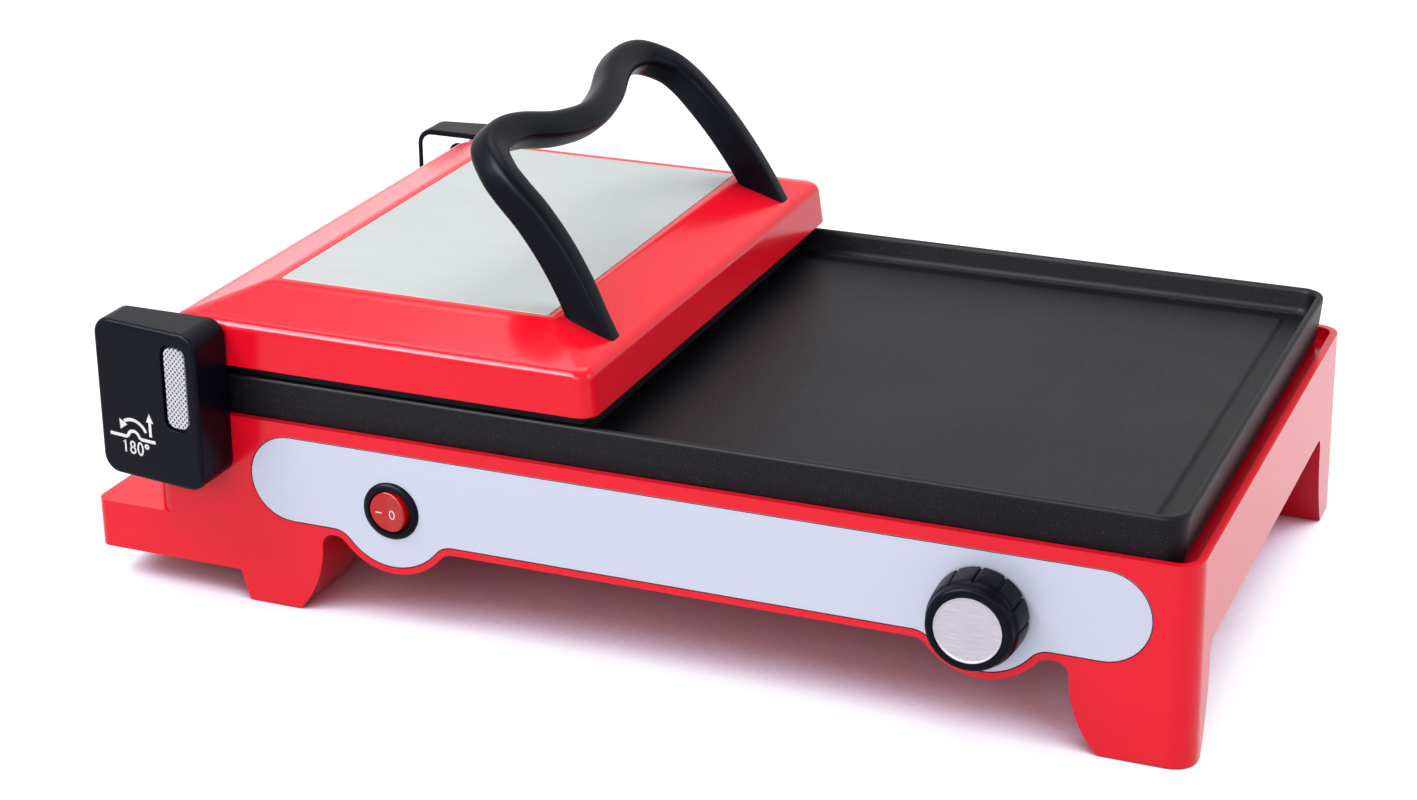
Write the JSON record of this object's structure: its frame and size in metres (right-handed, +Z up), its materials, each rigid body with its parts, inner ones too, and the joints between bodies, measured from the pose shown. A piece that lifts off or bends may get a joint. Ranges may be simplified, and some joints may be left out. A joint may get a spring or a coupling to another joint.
{
  "type": "electric indoor grill",
  "caption": "Countertop electric grill: flat griddle plate over a red housing, half covered by a lid that lifts in guide slots and folds back to lie open beside it",
  "frame": {"origin": "on the table under the middle of the whole object with its lid closed", "axes": "+X runs along the length from the hinge end to the open griddle end, -Y is the control side, +Z is up"},
  "size_m": [0.4394, 0.294, 0.1849],
  "materials": {
    "red_plastic": "glossy red moulding",
    "black_plastic": "satin black moulding",
    "pan_sheet": "black painted sheet",
    "pad_rubber": "matt rubber",
    "silver_panel": "fine metallic silver",
    "rocker_red": "glossy translucent red",
    "ceramic": "pale heat-proof body",
    "steel": "plain steel",
    "cap_steel": "turned brushed cap",
    "plate_coating": "dark non-stick coating with a fine fleck on a cast plate",
    "element_metal": "heat-tinted sheath",
    "bright_sheet": "bright sheet",
    "lid_plate": "satin pale steel",
    "clear_lens": "ribbed clear",
    "lamp": "neon lamp bulb",
    "white_plastic": "pale terminal block"
  },
  "bodies": {
    "base": {"base_shell": "red_plastic", "bottom_cover": "pan_sheet", "rubber_feet": "pad_rubber", "control_panel": "silver_panel", "switch_housing": "black_plastic", "thermostat": "ceramic", "griddle_plate": "plate_coating", "lower_heating_element": "element_metal", "element_clips": "steel", "heat_reflector": "bright_sheet", "terminal_block": "white_plastic", "cord_gland": "black_plastic", "cover_screws": "steel", "hinge_block_front": "black_plastic", "hinge_block_rear": "black_plastic", "guide_plate_front": "bright_sheet", "guide_plate_rear": "bright_sheet", "block_screws": "steel", "indicator_lens": "clear_lens", "indicator_lamp": "lamp"},
    "lift_carriage": {"hinge_bush_front": "white_plastic", "hinge_bush_rear": "white_plastic"},
    "lid": {"hinge_pin_front": "steel", "hinge_pin_rear": "steel", "lid_shell": "red_plastic", "lid_inlay_plate": "lid_plate", "lid_frame": "black_plastic", "press_plate": "plate_coating", "upper_heating_element": "element_metal", "upper_reflector": "bright_sheet", "lid_handle": "black_plastic", "handle_screws": "steel"},
    "rocker": {"switch_rocker": "rocker_red"},
    "knob": {"thermostat_shaft": "steel", "knob_body": "black_plastic", "knob_cap": "cap_steel"}
  },
  "joints": [
    {"name": "lid_lift", "type": "slide", "parent": "base", "child": "lift_carriage", "axis": [0, 0, 1], "range_m": [0, 0.0075]},
    {"name": "lid_hinge", "type": "hinge", "parent": "lift_carriage", "child": "lid", "pos_m": [-0.1829, 0, 0.099], "axis": [0, -1, 0], "range_deg": [0, 180]},
    {"name": "switch_rock", "type": "hinge", "parent": "base", "child": "rocker", "pos_m": [-0.0879, -0.1238, 0.0483], "axis": [0, 0, 1], "range_deg": [0, 20]},
    {"name": "knob_turn", "type": "hinge", "parent": "base", "child": "knob", "pos_m": [0.1428, -0.125, 0.0483], "axis": [0, 1, 0], "range_deg": [0, 270]}
  ]
}
